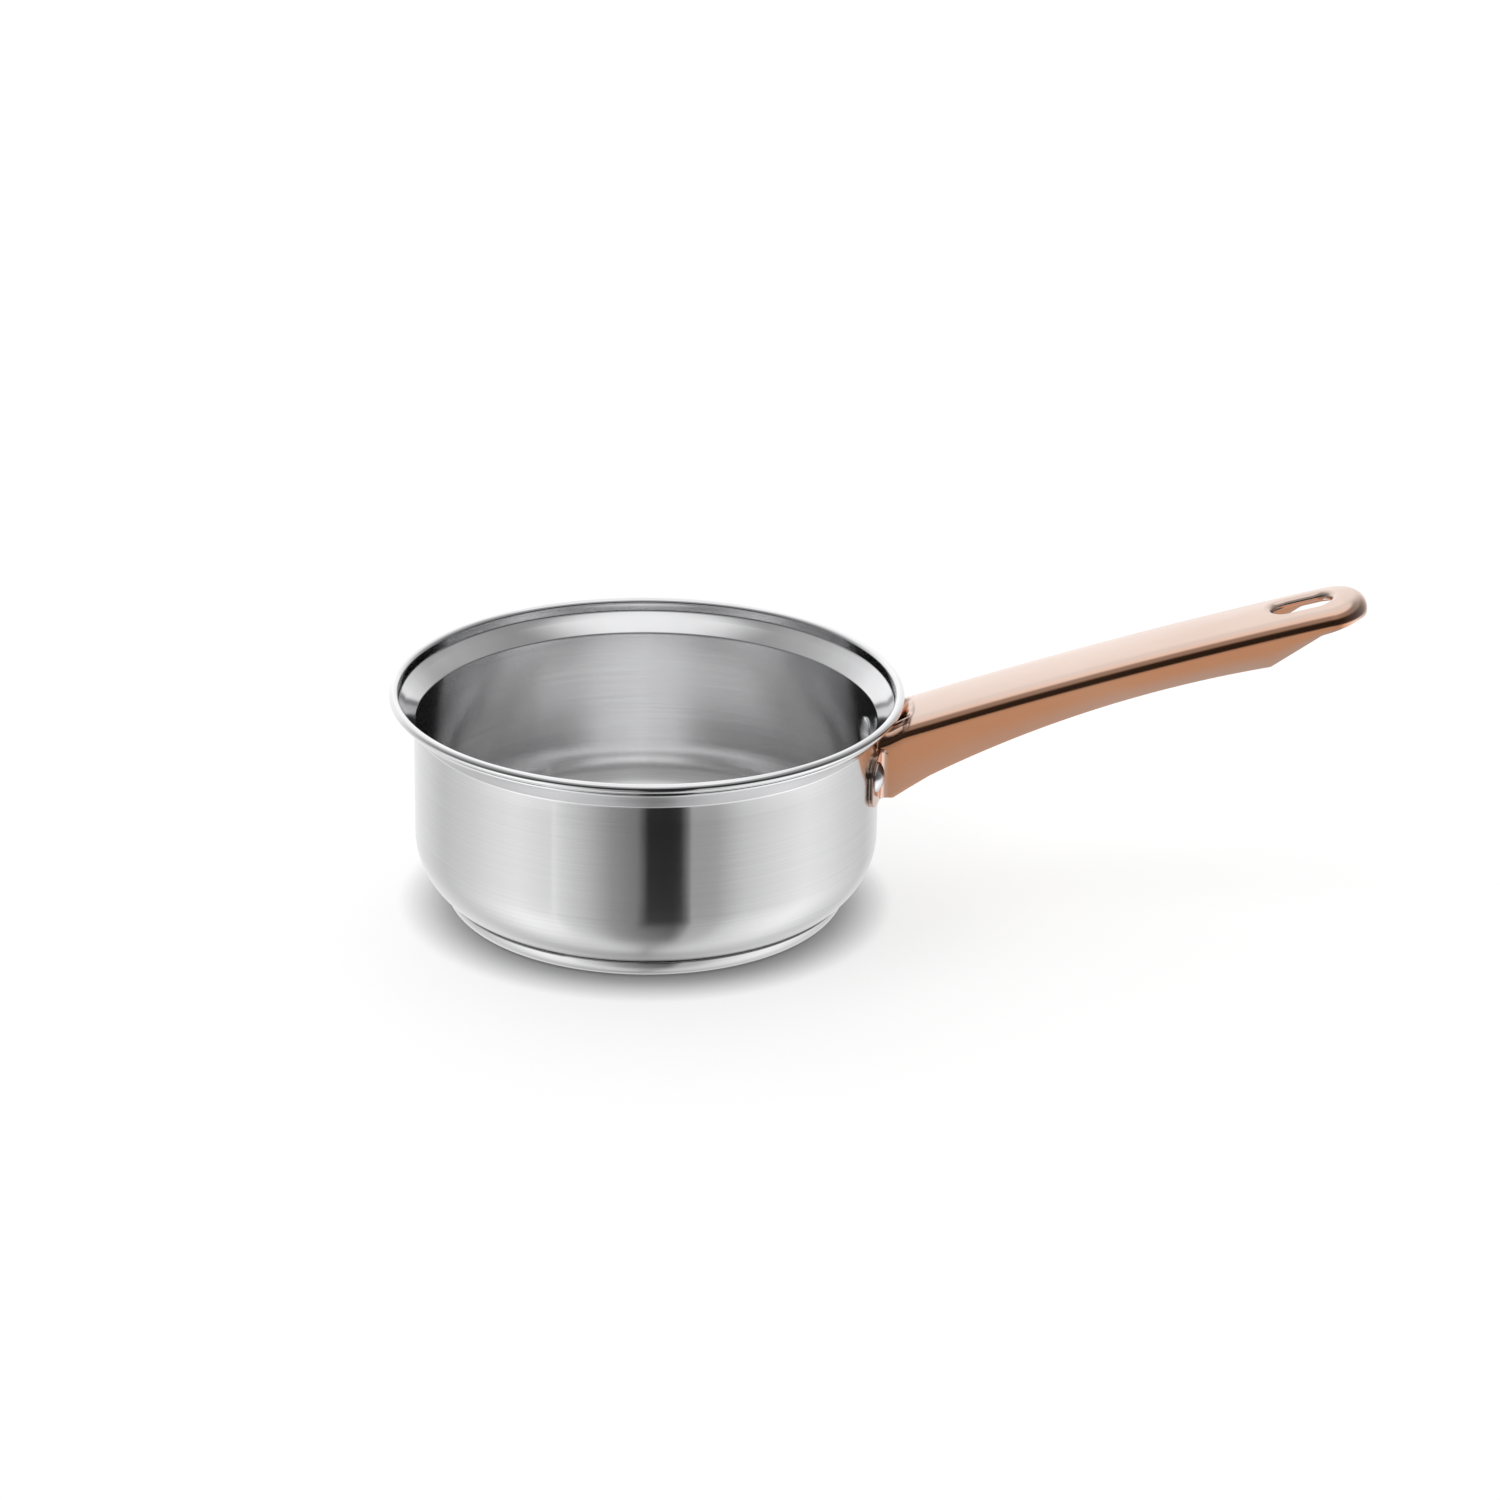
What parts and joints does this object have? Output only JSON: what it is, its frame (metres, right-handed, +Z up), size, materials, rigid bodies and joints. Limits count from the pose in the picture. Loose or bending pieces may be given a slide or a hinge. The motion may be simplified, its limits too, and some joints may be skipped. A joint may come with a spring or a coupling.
{
  "type": "saucepan",
  "caption": "Round saucepan with a stepped rolled rim, an encapsulated base and a riveted copper-coloured channel handle with a hanging slot.",
  "frame": {"origin": "centre of the base's underside, on the pan's axis", "axes": "+Z up through the pan's mouth, +X along the handle"},
  "size_m": [0.3364, 0.178, 0.1181],
  "materials": {
    "body_steel": "satin, brushed round the axis, with a polished bead",
    "base_steel": "satin, brushed round the axis",
    "core_aluminium": "as rolled, sealed inside the base",
    "handle_copper": "polished copper plating on pressed steel sheet",
    "rivet_steel": "polished"
  },
  "bodies": {
    "root": {"pan_body": "body_steel", "base_core": "core_aluminium", "base_cap": "base_steel", "handle": "handle_copper", "rivet_near": "rivet_steel", "rivet_far": "rivet_steel"}
  },
  "joints": []
}
